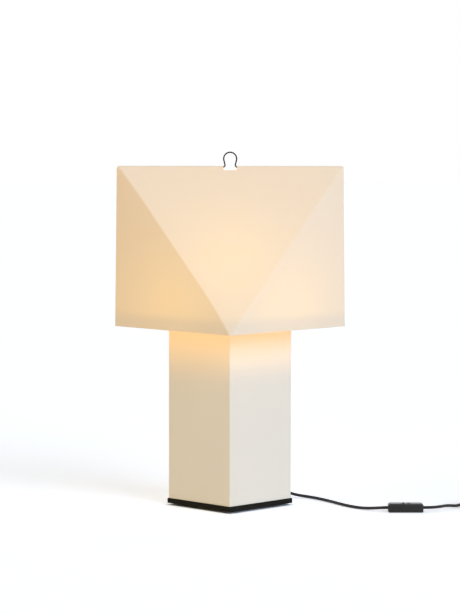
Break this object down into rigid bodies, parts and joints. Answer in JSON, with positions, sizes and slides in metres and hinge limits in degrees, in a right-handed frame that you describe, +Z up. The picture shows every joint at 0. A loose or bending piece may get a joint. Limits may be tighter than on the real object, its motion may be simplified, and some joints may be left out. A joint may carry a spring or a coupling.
{
  "type": "table lamp",
  "caption": "Table lamp with a faceted folded paper shade lifted by a wire loop, on a square metal column with a black base plate and a corded rocker switch.",
  "frame": {"origin": "on the floor under the middle of the column, in the plane of the foot pads' undersides", "axes": "+Z up; one corner of the column and of the shade points along -Y, towards the viewer; +X is to the viewer's right, where the cord lies"},
  "size_m": [0.7659, 0.3978, 0.6111],
  "materials": {
    "shade_paper": "matte translucent paper, lit from inside",
    "column_paint": "matte off-white powder coat",
    "base_black": "satin black paint",
    "wire_black": "satin black wire",
    "steel": "zinc-plated",
    "brass": "plain brass",
    "holder_white": "thermoset, matte white",
    "bulb_metal": "nickel-plated",
    "insulator": "dark glassy",
    "bulb_white": "satin white",
    "bulb_globe": "frosted white diffuser, lit",
    "gland_black": "matte black",
    "cord_black": "black textile sleeve",
    "tie_black": "woven hook-and-loop strap",
    "rubber_pads": "matte",
    "switch_plastic": "fine-grained charcoal",
    "rocker_plastic": "polished black",
    "plug_plastic": "fine-grained black",
    "pin_nickel": "nickel-plated"
  },
  "bodies": {
    "lamp": {"foot_pads": "rubber_pads", "base_plate": "base_black", "base_screws": "steel", "corner_blocks": "steel", "column_sleeve": "column_paint", "holder_plate_blocks": "steel", "holder_plate": "steel", "holder_plate_screws": "steel", "nipple": "brass", "nipple_washer": "steel", "nipple_nut": "brass", "holder_dome": "holder_white", "holder_skirt": "holder_white", "holder_core": "holder_white", "holder_thread": "brass", "holder_contact": "brass", "cord_gland": "gland_black", "gland_nut": "gland_black", "inner_cord": "cord_black", "cord_clamp": "gland_black", "clamp_screws": "steel", "cord_to_switch": "cord_black", "cord_from_switch": "cord_black", "cord_coil": "cord_black", "coil_tie": "tie_black", "cord_tail": "cord_black", "switch_base": "switch_plastic", "switch_cover": "switch_plastic", "switch_pivot": "steel", "switch_screws": "steel", "switch_terminals": "brass", "plug_body": "plug_plastic", "plug_relief": "plug_plastic", "plug_pins": "pin_nickel", "plug_sleeves": "plug_plastic"},
    "bulb": {"bulb_cap": "bulb_metal", "bulb_insulator": "insulator", "bulb_tip": "bulb_metal", "bulb_housing": "bulb_white", "bulb_globe": "bulb_globe"},
    "shade": {"shade_paper": "shade_paper", "loop_wire": "wire_black", "ring_frame": "wire_black"},
    "rocker": {"switch_rocker": "rocker_plastic"}
  },
  "joints": [
    {"name": "shade_lift", "type": "slide", "parent": "lamp", "child": "shade", "axis": [0, 0, 1], "range_m": [0, 0.08]},
    {"name": "bulb_turn", "type": "hinge", "parent": "lamp", "child": "bulb", "pos_m": [0, 0, 0.28], "axis": [0, 0, 1], "range_deg": [0, 1800]},
    {"name": "rocker_tilt", "type": "hinge", "parent": "lamp", "child": "rocker", "pos_m": [0.2992, -0.0815, 0.0106], "axis": [0, 1, 0], "range_deg": [-30, 0]}
  ]
}
